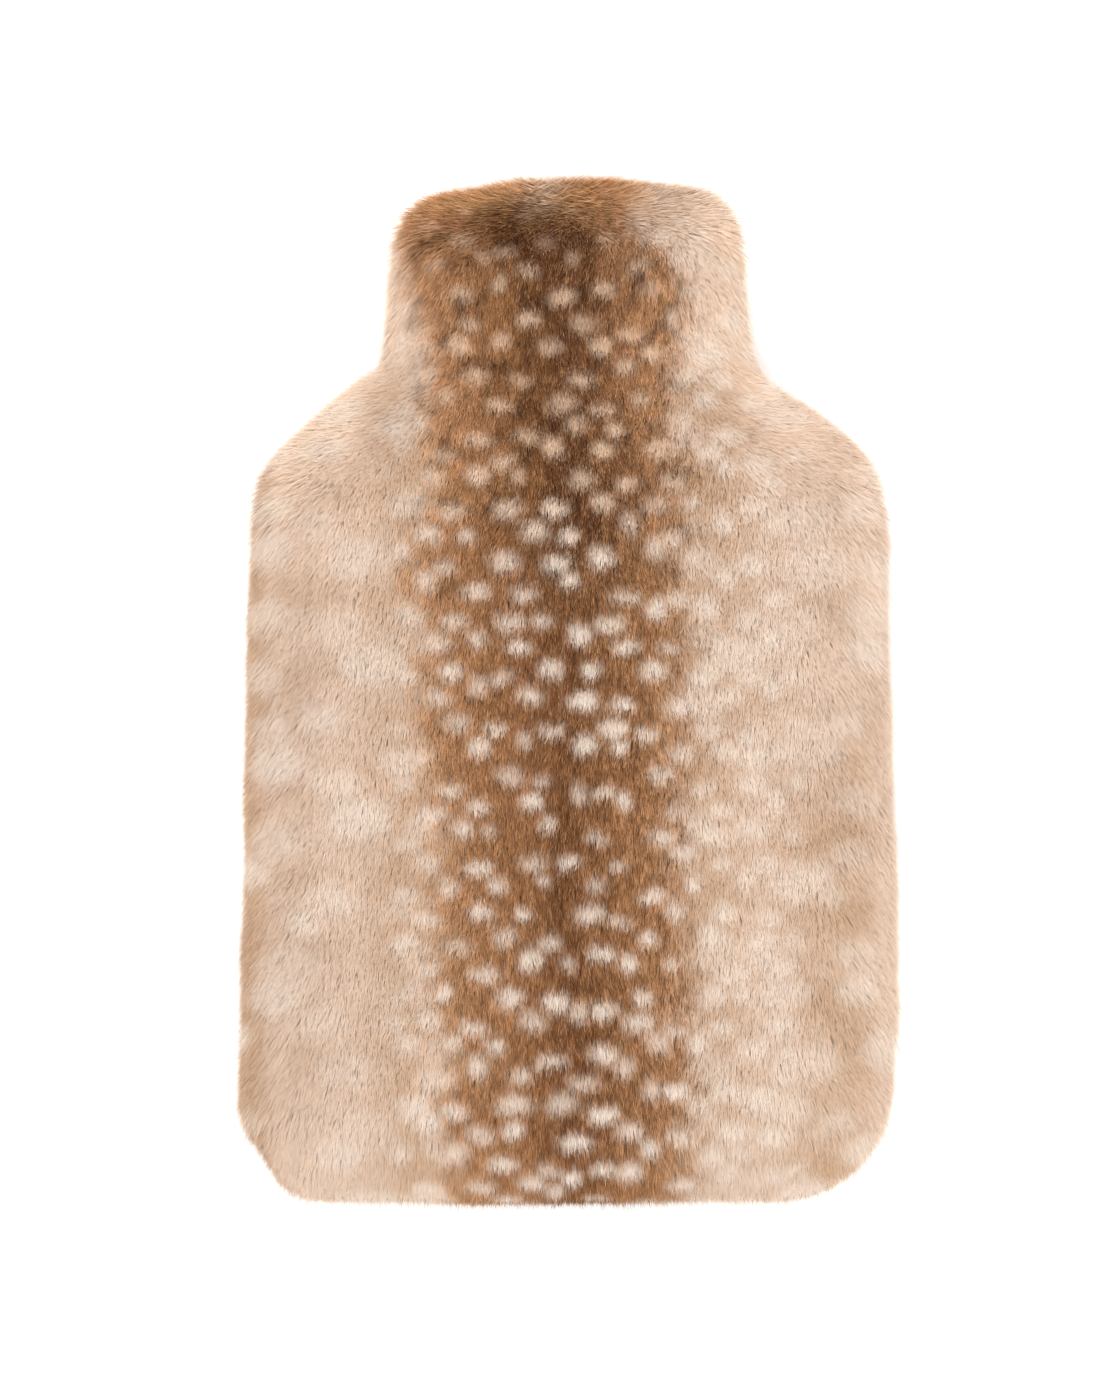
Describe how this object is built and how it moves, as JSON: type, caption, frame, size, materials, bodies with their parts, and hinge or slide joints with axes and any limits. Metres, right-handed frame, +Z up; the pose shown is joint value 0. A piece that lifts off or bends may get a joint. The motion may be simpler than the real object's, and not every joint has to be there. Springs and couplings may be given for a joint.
{
  "type": "hot water bottle cover",
  "caption": "Soft furry cover for a hot water bottle, with a wide neck, sloping shoulders and a slit across the back, lying on its back and filled out.",
  "frame": {"origin": "on the surface it lies on, under the middle of the cover's box", "axes": "+X across the cover to the right of someone who looks down on its front, +Y along it towards the neck, +Z up out of its front"},
  "size_m": [0.232, 0.361, 0.0572],
  "materials": {
    "front_pile": "matt short pile, brown down the middle with cream spots, pale sides",
    "back_pile": "matt short pile, pressed flat underneath"
  },
  "bodies": {
    "root": {"front_panel": "front_pile", "back_upper": "back_pile", "back_lower": "back_pile"}
  },
  "joints": []
}
